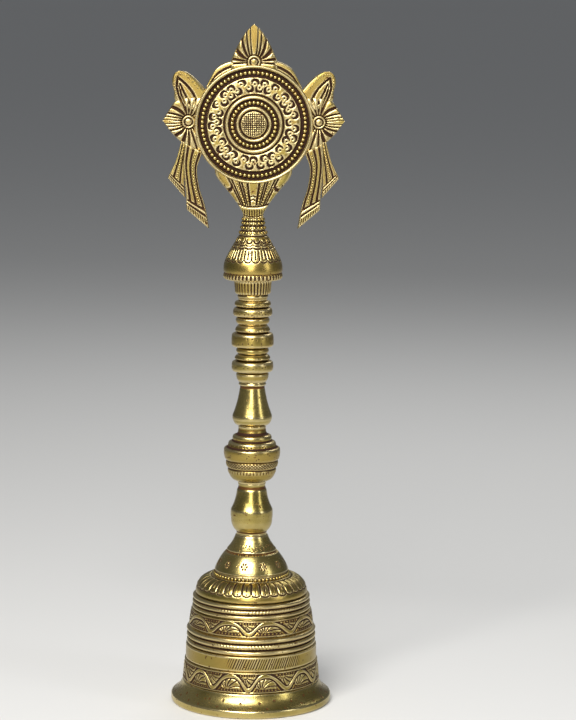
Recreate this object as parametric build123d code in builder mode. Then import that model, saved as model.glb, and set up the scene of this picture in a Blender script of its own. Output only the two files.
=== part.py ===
from build123d import *
import os

os.makedirs("parts", exist_ok=True)

# A brass hand bell for worship, standing on its mouth. Millimetres, +Z up.
# The origin is the centre of the mouth's rim plane, and the front of the finial faces -Y.
# A turned handle is threaded on a tie rod between the bell's crown and the cast finial.
# Inside the bell a nut on the same rod carries the swivel loop that the clapper hangs from.

# ---------------------------------------------------------------- fits
running_fit = 0.05  # radial gap of the swivel's shank and of the clapper's eye
rod_clearance = 0.25  # radial gap round the tie rod where it only passes through
swivel_gap = 0.4  # between the nut and the loop that turns under it
head_gap = 0.05  # under the swivel's peened head

# ---------------------------------------------------------------- bell cup
mouth_radius = 36.2
mouth_inner_radius = 32.8
rim_height = 3.3
rim_round = 0.9
flare_height = 6.7
flare_sag = 0.9  # how far the flare is hollowed below a straight cone
waist_radius = 31.0
low_band_height = 9.6
low_band_top_radius = 30.0
groove_depth = 0.6
groove_width = 0.6
plain_band_height = 6.3
plain_band_radius = 29.6
low_ring_base = 28.2
low_ring_radius = 29.2
low_ring_height = 2.7
high_band_height = 7.2
high_band_radius = 28.3
high_band_top_radius = 27.2
high_ring_base = 25.8
high_ring_radius = 26.7
high_ring_height = 2.25
ring_count = 3
shoulder_radius = 25.2
shoulder_height = 7.85
seat_radius = 18.6
crown_thickness = 2.8
waist_wall = 2.8  # where the flare meets the body
upper_wall = 1.8  # behind the roots of the upper rings
crown_flat_radius = 12.0

# ---------------------------------------------------------------- tie rod, washer and nut
rod_radius = 3.0
rod_in_cap = 12.0
washer_radius = 9.0
washer_thickness = 1.2
nut_across_flats = 12.0
thread_depth = 4.6
pocket_radius = 2.6
pocket_height = 2.2
nut_floor = 2.0

# ---------------------------------------------------------------- swivel loop and clapper
shank_radius = 1.3
head_radius = 2.3
head_height = 1.2
loop_bar = 1.8  # thickness of the loop's top and sides
loop_opening = 5.2
loop_pin_radius = 1.1
loop_depth = 3.4  # front to back
loop_corner = 1.6
leg_beyond_pin = 0.6
eye_wall = 1.4
eye_width = 2.2
eye_headroom = 0.6
stem_radius = 1.3
ball_radius = 7.5
ball_above_rim_plane = 10.0  # height of the ball's centre
tenon_radius = 1.1
collar_radius = 2.2
collar_height = 1.4
rivet_radius = 1.9
rivet_height = 1.0

# ---------------------------------------------------------------- handle, from the bell up
bead_ring_height = 2.2
bead_ring_radius = 17.4
foot_radius = 16.7
foot_skirt_height = 8.9
foot_skirt_top_radius = 11.9
foot_groove = 0.8
foot_cone_height = 7.0
foot_cone_radius = 11.3
foot_neck_radius = 6.9
lower_vase_height = 23.5
lower_vase_radius = 9.5
lower_vase_belly = 8.5  # height of the belly above the vase's foot
lower_vase_neck = 6.3
neck_ring_height = 3.0
knop_cup_height = 7.0
knop_cup_radius = 9.9
knop_cup_top_radius = 11.0
knop_band_height = 3.4
knop_band_radius = 11.6
knop_drum_height = 6.0
knop_drum_radius = 12.6
knop_step_height = 2.4
knop_step_radius = 11.0
knop_disc_height = 3.4
knop_disc_radius = 8.6
knop_neck_height = 3.8
knop_neck_radius = 6.3
upper_vase_height = 20.0
upper_vase_radius = 8.9
upper_vase_belly = 5.0
upper_vase_neck = 5.5
upper_vase_lip = 6.2
# Each grip ring is turned from one blank: a lower bead, a wide drum and an upper bead.
grip_rings = {
    "lower_grip_ring": {"lower": (4.5, 7.2), "drum": (5.2, 9.2), "upper": (2.9, 7.9)},
    "middle_grip_ring": {"lower": (3.1, 7.2), "drum": (6.6, 9.4), "upper": (3.5, 7.8)},
    "upper_grip_ring": {"lower": (3.6, 7.3), "drum": (4.3, 8.7), "upper": (3.1, 8.0)},
}
bead_edge = 0.8  # how far each band of a grip ring is rounded at its edges
collar_neck_height = 2.7
collar_neck_radius = 6.5
collar_flute_height = 6.5
collar_flute_radius = 7.9
collar_flute_top_radius = 8.5

# ---------------------------------------------------------------- finial
cap_radius = 13.4
cap_rim_height = 3.4
cap_band_height = 5.4
cap_band_top_radius = 12.2
cap_waist_height = 11.0
cap_waist_radius = 7.5
cap_neck_height = 7.7
cap_neck_radius = 4.7
tang_width = 5.4
tang_thickness = 3.0
tang_depth = 9.0

disc_radius = 26.3
bracket_height = 15.2  # from the cap's neck up to the disc's rim
web_half = 2.2  # half the thickness of the disc's sunk ground
flame_half = 2.8
petal_half = 2.6
ribbon_half = 2.4
bracket_half = 2.8
rim_width = 1.5
bead_row_inset = 2.7  # from the disc's edge in to the bead row
bead_row_width = 1.6
leaf_band_inset = 5.3
# Raised rings of the wheel, the same on both faces: inner radius, outer radius, half thickness.
wheel_rings = {
    "rim": (disc_radius - rim_width, disc_radius, 3.6),
    "bead_row": (disc_radius - bead_row_inset - bead_row_width, disc_radius - bead_row_inset, 3.1),
    "leaf_band": (13.3, disc_radius - leaf_band_inset, 3.3),
    "inner_ring": (11.2, 12.6, 3.5),
    "inner_bead_row": (9.4, 10.9, 3.1),
    "hub_ring": (6.5, 7.8, 3.5),
}
hub_radius = 5.8
hub_half = 3.3
top_flame_length = 17.7  # beyond the disc's edge
top_flame_half_width = 10.5
curl_radius = 3.0
curl_angle = 28.0  # of the curls beside the top flame, from straight up
side_flame_length = 13.9  # beyond the disc's edge

# ---------------------------------------------------------------- heights, from the mouth up
flare_start = rim_height
low_band_start = flare_start + flare_height
plain_band_start = low_band_start + low_band_height + groove_width
low_rings_start = plain_band_start + plain_band_height
high_band_start = low_rings_start + ring_count * low_ring_height + groove_width
high_rings_start = high_band_start + high_band_height
shoulder_start = high_rings_start + ring_count * high_ring_height + groove_width
crown_top = shoulder_start + shoulder_height
crown_inside = crown_top - crown_thickness

washer_bottom = crown_inside - washer_thickness
rod_bottom = washer_bottom - thread_depth
pocket_floor = rod_bottom - pocket_height
nut_bottom = pocket_floor - nut_floor
loop_top = nut_bottom - swivel_gap
eye_radius = loop_pin_radius + running_fit + eye_wall
pivot = loop_top - loop_bar - eye_headroom - eye_radius

foot_start = crown_top + bead_ring_height
lower_vase_start = foot_start + foot_skirt_height + foot_groove + foot_cone_height
knop_start = lower_vase_start + lower_vase_height
knop_shell_height = knop_cup_height + knop_band_height + knop_drum_height + knop_step_height
knop_height = knop_shell_height + knop_disc_height + knop_neck_height
upper_vase_start = knop_start + knop_height
grip_start = upper_vase_start + upper_vase_height
collar_start = grip_start + sum(height for ring in grip_rings.values() for height, _ in ring.values())
cap_start = collar_start + collar_neck_height + collar_flute_height
cap_neck_start = cap_start + cap_rim_height + cap_band_height + cap_waist_height
cap_top = cap_neck_start + cap_neck_height
disc_centre = cap_top + bracket_height + disc_radius

bore_radius = rod_radius + rod_clearance
print("overall height", disc_centre + disc_radius + top_flame_length, "pivot height", pivot)


def step(*points):
    """Straight runs of a turned profile, as (radius, height) points. A step of no size is left out."""
    for start, end in zip(points, points[1:]):
        if abs(start[0] - end[0]) + abs(start[1] - end[1]) > 1e-6:
            Line(start, end)


def bead(base_radius, top_radius, low, high):
    """One half-round ring of a turned profile."""
    ThreePointArc((base_radius, low), (top_radius, (low + high) / 2), (base_radius, high))


def half_solid(bore, low, high, foot, top):
    """Closes a turned profile along its bore, from its top point back to its foot point."""
    Polyline(top, (bore, high), (bore, low), foot)


# ---------------------------------------------------------------- bell_cup
# Cast in one piece and turned: flared lip, two leaf bands, two groups of half-round rings
# and a round shoulder. The wall is thickest at the lip, and the crown is bored for the tie rod.
with BuildPart() as bell_cup:
    with BuildSketch(Plane.XZ):
        with BuildLine():
            Line((mouth_inner_radius, 0), (mouth_radius - rim_round, 0))
            RadiusArc((mouth_radius - rim_round, 0), (mouth_radius, rim_round), -rim_round)
            Line((mouth_radius, rim_round), (mouth_radius, flare_start))
            SagittaArc((mouth_radius, flare_start), (waist_radius, low_band_start), -flare_sag)
            step(
                (waist_radius, low_band_start),
                (low_band_top_radius, low_band_start + low_band_height),
                (plain_band_radius - groove_depth, low_band_start + low_band_height),
                (plain_band_radius - groove_depth, plain_band_start),
                (plain_band_radius, plain_band_start),
                (plain_band_radius, low_rings_start),
                (low_ring_base, low_rings_start),
            )
            for index in range(ring_count):
                low = low_rings_start + index * low_ring_height
                bead(low_ring_base, low_ring_radius, low, low + low_ring_height)
            step(
                (low_ring_base, low_rings_start + ring_count * low_ring_height),
                (high_band_radius - groove_depth, high_band_start),
                (high_band_radius, high_band_start),
                (high_band_top_radius, high_rings_start),
                (high_ring_base, high_rings_start),
            )
            for index in range(ring_count):
                low = high_rings_start + index * high_ring_height
                bead(high_ring_base, high_ring_radius, low, low + high_ring_height)
            step(
                (high_ring_base, high_rings_start + ring_count * high_ring_height),
                (shoulder_radius - groove_depth, shoulder_start),
                (shoulder_radius, shoulder_start),
            )
            ThreePointArc(
                (shoulder_radius, shoulder_start),
                ((shoulder_radius + seat_radius) / 2 + 1.4, shoulder_start + 0.68 * shoulder_height),
                (seat_radius, crown_top),
            )
            step(
                (seat_radius, crown_top),
                (bore_radius, crown_top),
                (bore_radius, crown_inside),
                (crown_flat_radius, crown_inside),
            )
            EllipticalCenterArc(
                (crown_flat_radius, high_rings_start),
                high_ring_base - upper_wall - crown_flat_radius,
                crown_inside - high_rings_start,
                arc_size=90,
            )
            Line((high_ring_base - upper_wall, high_rings_start), (waist_radius - waist_wall, low_band_start))
            SagittaArc((waist_radius - waist_wall, low_band_start), (mouth_inner_radius, 0), flare_sag)
        make_face()
    revolve(axis=Axis.Z)
bell_cup.part.label = "bell_cup"
export_step(bell_cup.part, "parts/bell_cup.step")

# ---------------------------------------------------------------- crown_bead_ring
# A loose ring between the crown and the handle's foot, its edge worked into beads.
with BuildPart() as crown_bead_ring:
    with BuildSketch(Plane.XZ):
        with BuildLine():
            edge = bead_ring_radius - bead_ring_height / 2
            bead(edge, bead_ring_radius, crown_top, foot_start)
            half_solid(bore_radius, crown_top, foot_start, (edge, crown_top), (edge, foot_start))
        make_face()
    revolve(axis=Axis.Z)
crown_bead_ring.part.label = "crown_bead_ring"
export_step(crown_bead_ring.part, "parts/crown_bead_ring.step")

# ---------------------------------------------------------------- handle_foot
# The handle's spreading foot: a skirt with flower stamps, a groove, and a cone up to the neck.
with BuildPart() as handle_foot:
    with BuildSketch(Plane.XZ):
        with BuildLine():
            skirt_top = foot_start + foot_skirt_height
            cone_start = skirt_top + foot_groove
            SagittaArc((foot_radius, foot_start), (foot_skirt_top_radius, skirt_top), -0.5)
            step(
                (foot_skirt_top_radius, skirt_top),
                (foot_cone_radius - groove_depth, skirt_top),
                (foot_cone_radius - groove_depth, cone_start),
                (foot_cone_radius, cone_start),
            )
            SagittaArc((foot_cone_radius, cone_start), (foot_neck_radius, lower_vase_start), 0.4)
            half_solid(
                bore_radius,
                foot_start,
                lower_vase_start,
                (foot_radius, foot_start),
                (foot_neck_radius, lower_vase_start),
            )
        make_face()
    revolve(axis=Axis.Z)
handle_foot.part.label = "handle_foot"
export_step(handle_foot.part, "parts/handle_foot.step")

# ---------------------------------------------------------------- lower_vase
# A polished vase: a round belly, a long hollow neck and a ring at the top.
with BuildPart() as lower_vase:
    with BuildSketch(Plane.XZ):
        with BuildLine():
            belly = lower_vase_start + lower_vase_belly
            neck_ring = knop_start - neck_ring_height
            ThreePointArc(
                (foot_neck_radius, lower_vase_start),
                (lower_vase_radius - 0.7, belly - 0.55 * lower_vase_belly),
                (lower_vase_radius, belly),
            )
            Spline(
                (lower_vase_radius, belly),
                ((lower_vase_radius + lower_vase_neck) / 2 + 0.2, belly + 0.5 * (neck_ring - belly)),
                (lower_vase_neck, neck_ring),
                tangents=((0, 1), (0, 1)),
            )
            bead(lower_vase_neck, lower_vase_neck + 0.5, neck_ring, knop_start)
            half_solid(
                bore_radius,
                lower_vase_start,
                knop_start,
                (foot_neck_radius, lower_vase_start),
                (lower_vase_neck, knop_start),
            )
        make_face()
    revolve(axis=Axis.Z)
lower_vase.part.label = "lower_vase"
export_step(lower_vase.part, "parts/lower_vase.step")

# ---------------------------------------------------------------- handle_knop
# The stepped knop in the middle of the handle: a cup, a cross-cut band, a drum and a small disc.
with BuildPart() as handle_knop:
    with BuildSketch(Plane.XZ):
        with BuildLine():
            band_start = knop_start + knop_cup_height
            drum_start = band_start + knop_band_height
            step_start = drum_start + knop_drum_height
            disc_start = step_start + knop_step_height
            neck_start = disc_start + knop_disc_height
            SagittaArc((lower_vase_neck, knop_start), (knop_cup_radius, knop_start + 2), 0.4)
            SagittaArc((knop_cup_radius, knop_start + 2), (knop_cup_top_radius, band_start), -0.3)
            step((knop_cup_top_radius, band_start), (knop_band_radius - groove_depth, band_start))
            bead(knop_band_radius - groove_depth, knop_band_radius, band_start, drum_start)
            step((knop_band_radius - groove_depth, drum_start), (knop_drum_radius - groove_depth, drum_start))
            bead(knop_drum_radius - groove_depth, knop_drum_radius, drum_start, step_start)
            step(
                (knop_drum_radius - groove_depth, step_start),
                (knop_step_radius, step_start),
                (knop_step_radius - 0.8, disc_start),
                (knop_disc_radius, disc_start),
            )
            SagittaArc((knop_disc_radius, disc_start), (knop_neck_radius + 0.6, neck_start), -0.5)
            Line((knop_neck_radius + 0.6, neck_start), (knop_neck_radius, upper_vase_start))
            half_solid(
                bore_radius,
                knop_start,
                upper_vase_start,
                (lower_vase_neck, knop_start),
                (knop_neck_radius, upper_vase_start),
            )
        make_face()
    revolve(axis=Axis.Z)
handle_knop.part.label = "handle_knop"
export_step(handle_knop.part, "parts/handle_knop.step")

# ---------------------------------------------------------------- upper_vase
# A polished vase like the lower one, with a sharp edge at its belly and a thin lip on top.
with BuildPart() as upper_vase:
    with BuildSketch(Plane.XZ):
        with BuildLine():
            belly = upper_vase_start + upper_vase_belly
            lip_start = grip_start - 1.6
            SagittaArc((knop_neck_radius, upper_vase_start), (upper_vase_radius, belly - 2), 0.5)
            Line((upper_vase_radius, belly - 2), (upper_vase_radius, belly))
            SagittaArc((upper_vase_radius, belly), (upper_vase_neck, lip_start), 0.5)
            bead(upper_vase_neck, upper_vase_lip, lip_start, grip_start)
            half_solid(
                bore_radius,
                upper_vase_start,
                grip_start,
                (knop_neck_radius, upper_vase_start),
                (upper_vase_neck, grip_start),
            )
        make_face()
    revolve(axis=Axis.Z)
upper_vase.part.label = "upper_vase"
export_step(upper_vase.part, "parts/upper_vase.step")

# ---------------------------------------------------------------- three grip rings
# Each is a drum between two narrower beads, all rounded at their edges.
ring_start = grip_start
for name, ring in grip_rings.items():
    with BuildPart() as grip_ring:
        start = ring_start
        for height, radius in ring.values():
            with BuildSketch(Plane.XZ):
                with BuildLine():
                    end = start + height
                    flat_edge = radius - bead_edge
                    step((flat_edge, start), (bore_radius, start), (bore_radius, end), (flat_edge, end))
                    middle = (flat_edge, (start + end) / 2)
                    EllipticalCenterArc(middle, bead_edge, height / 2, -90, arc_size=180)
                make_face()
            start += height
        revolve(axis=Axis.Z)
    ring_start = start
    grip_ring.part.label = name
    export_step(grip_ring.part, f"parts/{name}.step")

# ---------------------------------------------------------------- top_collar
# A short neck and a fluted collar under the finial's cap.
with BuildPart() as top_collar:
    with BuildSketch(Plane.XZ):
        with BuildLine():
            flute_start = collar_start + collar_neck_height
            step(
                (bore_radius, collar_start),
                (collar_neck_radius, collar_start),
                (collar_neck_radius, flute_start),
                (collar_flute_radius, flute_start),
                (collar_flute_top_radius, cap_start),
                (bore_radius, cap_start),
                (bore_radius, collar_start),
            )
        make_face()
    revolve(axis=Axis.Z)
top_collar.part.label = "top_collar"
export_step(top_collar.part, "parts/top_collar.step")

# ---------------------------------------------------------------- finial_cap
# The domed skirt that the finial grows from. It screws on the tie rod's top end,
# and a slot in its neck holds the wheel's tang.
with BuildPart() as finial_cap:
    with BuildSketch(Plane.XZ):
        with BuildLine():
            band_start = cap_start + cap_rim_height
            waist_start = band_start + cap_band_height
            step(
                (rod_radius, cap_start + rod_in_cap),
                (rod_radius, cap_start),
                (cap_radius - 1.6, cap_start),
                (cap_radius, cap_start + 1.2),
                (cap_radius, band_start),
            )
            SagittaArc((cap_radius, band_start), (cap_band_top_radius, waist_start), -0.3)
            Spline(
                (cap_band_top_radius, waist_start),
                ((cap_band_top_radius + cap_waist_radius) / 2, waist_start + 0.52 * cap_waist_height),
                (cap_waist_radius - 1.1, cap_neck_start),
            )
            SagittaArc((cap_waist_radius - 1.1, cap_neck_start), (cap_neck_radius, cap_top), 0.4)
            step(
                (cap_neck_radius, cap_top),
                (0, cap_top),
                (0, cap_start + rod_in_cap),
                (rod_radius, cap_start + rod_in_cap),
            )
        make_face()
    revolve(axis=Axis.Z)
    with BuildSketch(Plane.XY.offset(cap_top)):
        Rectangle(tang_width, tang_thickness)
    extrude(amount=-tang_depth, mode=Mode.SUBTRACT)
finial_cap.part.label = "finial_cap"
export_step(finial_cap.part, "parts/finial_cap.step")

# ---------------------------------------------------------------- chakra_plate
# The flat cast wheel, alike on both faces: raised rings on a sunk ground, a flame on top,
# and on each side a rounded petal, a pointed flame and a folded ribbon. A bracket tapers
# down to the cap, with a tang below it.
wheel_plane = Plane(origin=(0, 0, disc_centre), x_dir=(1, 0, 0), z_dir=(0, -1, 0))
with BuildPart() as chakra_plate:
    with BuildSketch(wheel_plane):
        Circle(disc_radius)
    extrude(amount=web_half, both=True)
    for inner, outer, half in wheel_rings.values():
        with BuildSketch(wheel_plane):
            Circle(outer)
            Circle(inner, mode=Mode.SUBTRACT)
        extrude(amount=half, both=True)
    with BuildSketch(wheel_plane):
        Circle(hub_radius)
    extrude(amount=hub_half, both=True)

    # flame on top, rooted in the rim, with a small curl on the rim at each side of it
    with BuildSketch(wheel_plane):
        with BuildLine():
            flame_tip = (0, disc_radius + top_flame_length)
            flame_foot = (top_flame_half_width, disc_radius + 0.7)
            Spline(flame_foot, (5.9, disc_radius + 10.7), flame_tip)
            Polyline(flame_tip, (0, disc_radius - 3.3), (top_flame_half_width, disc_radius - 3.3), flame_foot)
        make_face()
        mirror(about=Plane.YZ)
        with PolarLocations(disc_radius + 1.35, 2, 90 - curl_angle, 2 * curl_angle, endpoint=True):
            Circle(curl_radius)
    extrude(amount=flame_half, both=True)

    # What grows from the sides is laid out from the disc's edge, as (outward, up) points,
    # and rooted inside the disc.
    side_plane = Plane(origin=(disc_radius, 0, disc_centre), x_dir=(1, 0, 0), z_dir=(0, -1, 0))
    with BuildPart(mode=Mode.PRIVATE) as side_pieces:
        # rounded upper petal
        with BuildSketch(side_plane):
            with BuildLine():
                Spline((-3.8, 15.5), (0.1, 21.0), (5.7, 23.2), (9.8, 20.2), (9.3, 16.0), (7.7, 9.6))
                Polyline((7.7, 9.6), (-2.3, 6.0), (-7.8, 11.5), (-3.8, 15.5))
            make_face()
        extrude(amount=petal_half, both=True)

        # pointed side flame
        with BuildSketch(side_plane):
            with BuildLine():
                Polyline((-2.3, 9.0), (7.9, 10.6), (11.1, 6.6), (side_flame_length, 1.5), (11.1, -2.8))
                Polyline((11.1, -2.8), (4.2, -9.4), (-3.3, -12.0), (-2.3, 9.0))
            make_face()
        extrude(amount=flame_half, both=True)

        # folded ribbon
        with BuildSketch(side_plane):
            with BuildLine():
                Spline((4.3, -9.0), (7.5, -16.0), (11.6, -23.7))
                Polyline((11.6, -23.7), (3.7, -32.8), (3.4, -37.6), (-6.7, -46.2))
                Spline((-6.7, -46.2), (-5.1, -35.8), (-1.7, -26.5), (-2.9, -14.0))
                Polyline((-2.9, -14.0), (-6.8, -10.5), (-2.3, -6.0), (4.3, -9.0))
            make_face()
        extrude(amount=ribbon_half, both=True)
    add(side_pieces.part)
    add(mirror(side_pieces.part, about=Plane.YZ, mode=Mode.PRIVATE))

    # bracket, laid out from the cap's neck, and the tang below it
    with BuildSketch(Plane(origin=(0, 0, cap_top), x_dir=(1, 0, 0), z_dir=(0, -1, 0))):
        with BuildLine():
            Polyline((0, 0), (cap_neck_radius - 0.4, 0), (5.2, 3.5))
            SagittaArc((5.2, 3.5), (16.4, 18.3), 0.5)
            Polyline((16.4, 18.3), (16.8, 22.5), (0, 22.5), (0, 0))
        make_face()
        mirror(about=Plane.YZ)
    extrude(amount=bracket_half, both=True)
    with BuildSketch(Plane.XY.offset(cap_top)):
        Rectangle(tang_width, tang_thickness)
    extrude(amount=-tang_depth)
chakra_plate.part.label = "chakra_plate"
export_step(chakra_plate.part, "parts/chakra_plate.step")

# ---------------------------------------------------------------- tie_rod
# A plain rod, screwed into the finial's cap above and into the hanger nut below.
with BuildPart() as tie_rod:
    with BuildSketch(Plane.XY.offset(rod_bottom)):
        Circle(rod_radius)
    extrude(amount=cap_start + rod_in_cap - rod_bottom)
tie_rod.part.label = "tie_rod"
export_step(tie_rod.part, "parts/tie_rod.step")

# ---------------------------------------------------------------- crown_washer
with BuildPart() as crown_washer:
    with BuildSketch(Plane.XY.offset(washer_bottom)):
        Circle(washer_radius)
        Circle(bore_radius, mode=Mode.SUBTRACT)
    extrude(amount=washer_thickness)
crown_washer.part.label = "crown_washer"
export_step(crown_washer.part, "parts/crown_washer.step")

# ---------------------------------------------------------------- hanger_nut
# A deep hexagon nut. Its thread takes the rod from above, and its bored floor holds the
# swivel's shank, whose peened head turns in the pocket between them.
with BuildPart() as hanger_nut:
    with BuildSketch(Plane.XY.offset(nut_bottom)):
        RegularPolygon(nut_across_flats / 2, 6, major_radius=False)
    extrude(amount=washer_bottom - nut_bottom)
    chamfer(hanger_nut.faces().sort_by(Axis.Z)[0].outer_wire().edges(), 0.5)
    for radius, low, high in (
        (rod_radius, rod_bottom, washer_bottom),
        (pocket_radius, pocket_floor, rod_bottom),
        (shank_radius + running_fit, nut_bottom, pocket_floor),
    ):
        with BuildSketch(Plane.XY.offset(low)):
            Circle(radius)
        extrude(amount=high - low, mode=Mode.SUBTRACT)
hanger_nut.part.label = "hanger_nut"
export_step(hanger_nut.part, "parts/hanger_nut.step")

# ---------------------------------------------------------------- swivel_loop
# Shank with a peened head above, and below it a square loop whose round lower bar is the pin
# that the clapper hangs on.
loop_half_width = loop_opening / 2 + loop_bar
leg_end = pivot - loop_pin_radius - leg_beyond_pin
with BuildPart() as swivel_loop:
    with BuildSketch(Plane.XY.offset(loop_top)):
        Circle(shank_radius)
    extrude(amount=pocket_floor + head_gap - loop_top)
    with BuildSketch(Plane.XY.offset(pocket_floor + head_gap)):
        Circle(head_radius)
    extrude(amount=head_height)
    with BuildSketch(Plane.XZ):
        with Locations((0, (loop_top + leg_end) / 2)):
            RectangleRounded(2 * loop_half_width, loop_top - leg_end, loop_corner)
        with Locations((0, loop_top - loop_bar)):
            opening_height = loop_top - loop_bar - leg_end + 1
            Rectangle(loop_opening, opening_height, align=(Align.CENTER, Align.MAX), mode=Mode.SUBTRACT)
    extrude(amount=loop_depth / 2, both=True)
    with BuildSketch(Plane.YZ):
        with Locations((0, pivot)):
            Circle(loop_pin_radius)
    extrude(amount=loop_half_width - 0.5, both=True)
swivel_loop.part.label = "swivel_loop"
export_step(swivel_loop.part, "parts/swivel_loop.step")

# ---------------------------------------------------------------- clapper_rod
# A forged rod: an eye round the loop's pin, a stem, a collar that the ball seats against,
# and a tenon through the ball, riveted over below it.
ball_top = ball_above_rim_plane + ball_radius
ball_seat = ball_top - 0.4
ball_underside = ball_above_rim_plane - ball_radius + 0.4
with BuildPart() as clapper_rod:
    with BuildSketch(Plane.XZ):
        with BuildLine():
            stem_top = pivot - eye_radius + 0.5
            step(
                (0, stem_top),
                (0, ball_underside - rivet_height),
                (rivet_radius - 0.7, ball_underside - rivet_height),
                (rivet_radius, ball_underside),
                (tenon_radius, ball_underside),
                (tenon_radius, ball_seat),
                (collar_radius, ball_seat),
                (collar_radius, ball_seat + collar_height),
                (stem_radius, ball_seat + collar_height + 0.8),
                (stem_radius, stem_top),
                (0, stem_top),
            )
        make_face()
    revolve(axis=Axis.Z)
    with BuildSketch(Plane.YZ):
        with Locations((0, pivot)):
            Circle(eye_radius)
    extrude(amount=eye_width / 2, both=True)
    with BuildSketch(Plane.YZ):
        with Locations((0, pivot)):
            Circle(loop_pin_radius + running_fit)
    extrude(amount=eye_width, both=True, mode=Mode.SUBTRACT)
clapper_rod.part.label = "clapper_rod"
export_step(clapper_rod.part, "parts/clapper_rod.step")

# ---------------------------------------------------------------- clapper_ball
# A solid turned ball, flat where it meets the collar and the rivet.
with BuildPart() as clapper_ball:
    with BuildSketch(Plane.XZ):
        with Locations((0, ball_above_rim_plane)):
            Circle(ball_radius)
        ball_height = ball_seat - ball_underside
        with Locations((tenon_radius, ball_underside)):
            Rectangle(ball_radius, ball_height, align=(Align.MIN, Align.MIN), mode=Mode.INTERSECT)
    revolve(axis=Axis.Z)
clapper_ball.part.label = "clapper_ball"
export_step(clapper_ball.part, "parts/clapper_ball.step")
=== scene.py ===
import math
import random

import bmesh
import bpy
import numpy as np
from mathutils import Matrix, Vector


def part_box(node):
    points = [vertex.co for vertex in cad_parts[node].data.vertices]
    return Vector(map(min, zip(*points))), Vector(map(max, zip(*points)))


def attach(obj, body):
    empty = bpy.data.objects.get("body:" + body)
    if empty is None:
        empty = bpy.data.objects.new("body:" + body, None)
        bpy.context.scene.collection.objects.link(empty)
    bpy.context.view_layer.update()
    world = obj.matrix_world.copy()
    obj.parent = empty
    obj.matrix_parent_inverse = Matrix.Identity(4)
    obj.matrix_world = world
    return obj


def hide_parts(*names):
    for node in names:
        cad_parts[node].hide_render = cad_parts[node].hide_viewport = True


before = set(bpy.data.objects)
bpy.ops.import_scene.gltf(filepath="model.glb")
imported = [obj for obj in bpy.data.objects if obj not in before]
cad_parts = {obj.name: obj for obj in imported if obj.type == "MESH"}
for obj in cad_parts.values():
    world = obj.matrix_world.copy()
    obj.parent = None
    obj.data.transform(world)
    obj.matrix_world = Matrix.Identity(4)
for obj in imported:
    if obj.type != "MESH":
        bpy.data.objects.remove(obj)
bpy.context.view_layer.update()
MM = 0.001

# ======================================================================== bell cup
# The bell itself: cast in one piece in brass, turned true, then chased by hand and darkened with
# a brown patina that was rubbed off the high places. This is the cup's core: its flared lip with
# punch marks, and the plain inside wall. The chased bands are laid over it below.

mouth_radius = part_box("bell_cup")[1][0] / MM
crown_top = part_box("bell_cup")[1][2] / MM


def fine(points, grain=0.35, passes=2):
    """An outline of (radius, height) points in millimetres, stepped at about one grain,
    with its corners worn round by averaging."""
    made = [points[0]]
    for (r0, z0), (r1, z1) in zip(points, points[1:]):
        steps = max(1, round(math.hypot(r1 - r0, z1 - z0) / grain))
        made += [(r0 + (r1 - r0) * k / steps, z0 + (z1 - z0) * k / steps) for k in range(1, steps + 1)]
    for _ in range(passes):
        worn = [
            tuple((a + 2 * b + c) / 4 for a, b, c in zip(*three)) for three in zip(made, made[1:], made[2:])
        ]
        made = [made[0], *worn, made[-1]]
    return made


def bow(start, end, sag, steps=10):
    """Points from start to end on a curve that stands sag millimetres off the straight line,
    to the right of the way it runs."""
    (r0, z0), (r1, z1) = start, end
    length = math.hypot(r1 - r0, z1 - z0)
    side = ((z1 - z0) / length, -(r1 - r0) / length)
    made = []
    for k in range(steps + 1):
        share = k / steps
        lift = 4 * sag * share * (1 - share)
        made.append((r0 + (r1 - r0) * share + side[0] * lift, z0 + (z1 - z0) * share + side[1] * lift))
    return made


def placed(name, data):
    """A new object of the scene, made of this data."""
    made = bpy.data.objects.new(name, data)
    bpy.context.scene.collection.objects.link(made)
    return made


def as_piece(name, shape):
    """Makes a smooth-shaded object of a bmesh, which is freed."""
    mesh = bpy.data.meshes.new(name)
    shape.to_mesh(mesh)
    shape.free()
    mesh.shade_smooth()
    return placed(name, mesh)


sectors = 16


def turned(name, outline, facets):
    """Spins a closed outline of (radius, height) points about the bell's axis, one sector first
    and then its copies. facets is a multiple of the number of sectors."""
    shape = bmesh.new()
    section = [shape.verts.new((r * MM, 0, z * MM)) for r, z in outline]
    edges = [shape.edges.new(pair) for pair in zip(section, section[1:] + section[:1])]
    about = {"cent": (0, 0, 0), "axis": (0, 0, 1)}
    sector = 2 * math.pi / sectors
    bmesh.ops.spin(shape, geom=section + edges, angle=sector, steps=facets // sectors, **about)
    whole = shape.verts[:] + shape.edges[:] + shape.faces[:]
    bmesh.ops.spin(
        shape, geom=whole, angle=sector * (sectors - 1), steps=sectors - 1, use_duplicate=True, **about
    )
    bmesh.ops.remove_doubles(shape, verts=shape.verts, dist=2e-6)
    bmesh.ops.recalc_face_normals(shape, faces=shape.faces)
    return as_piece(name, shape)


def read_vectors(mesh, what):
    """A vector of every vertex, as rows of an array."""
    found = np.empty(len(mesh.vertices) * 3, np.float32)
    mesh.vertices.foreach_get(what, found)
    return found.reshape(-1, 3)


def hand_wobble(x, y, z):
    """The slow unevenness of a hand-finished casting, from about -1 to 1."""
    return (
        np.sin(0.61 * x + 0.37 * y + 1.3)
        + np.sin(0.43 * y - 0.71 * z + 0.4)
        + np.sin(0.83 * z + 0.52 * x - 0.9)
        + 0.6 * np.sin(1.9 * x - 1.4 * z + 2.0)
        + 0.6 * np.sin(1.7 * y + 2.1 * z)
    ) / 4.2


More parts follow.
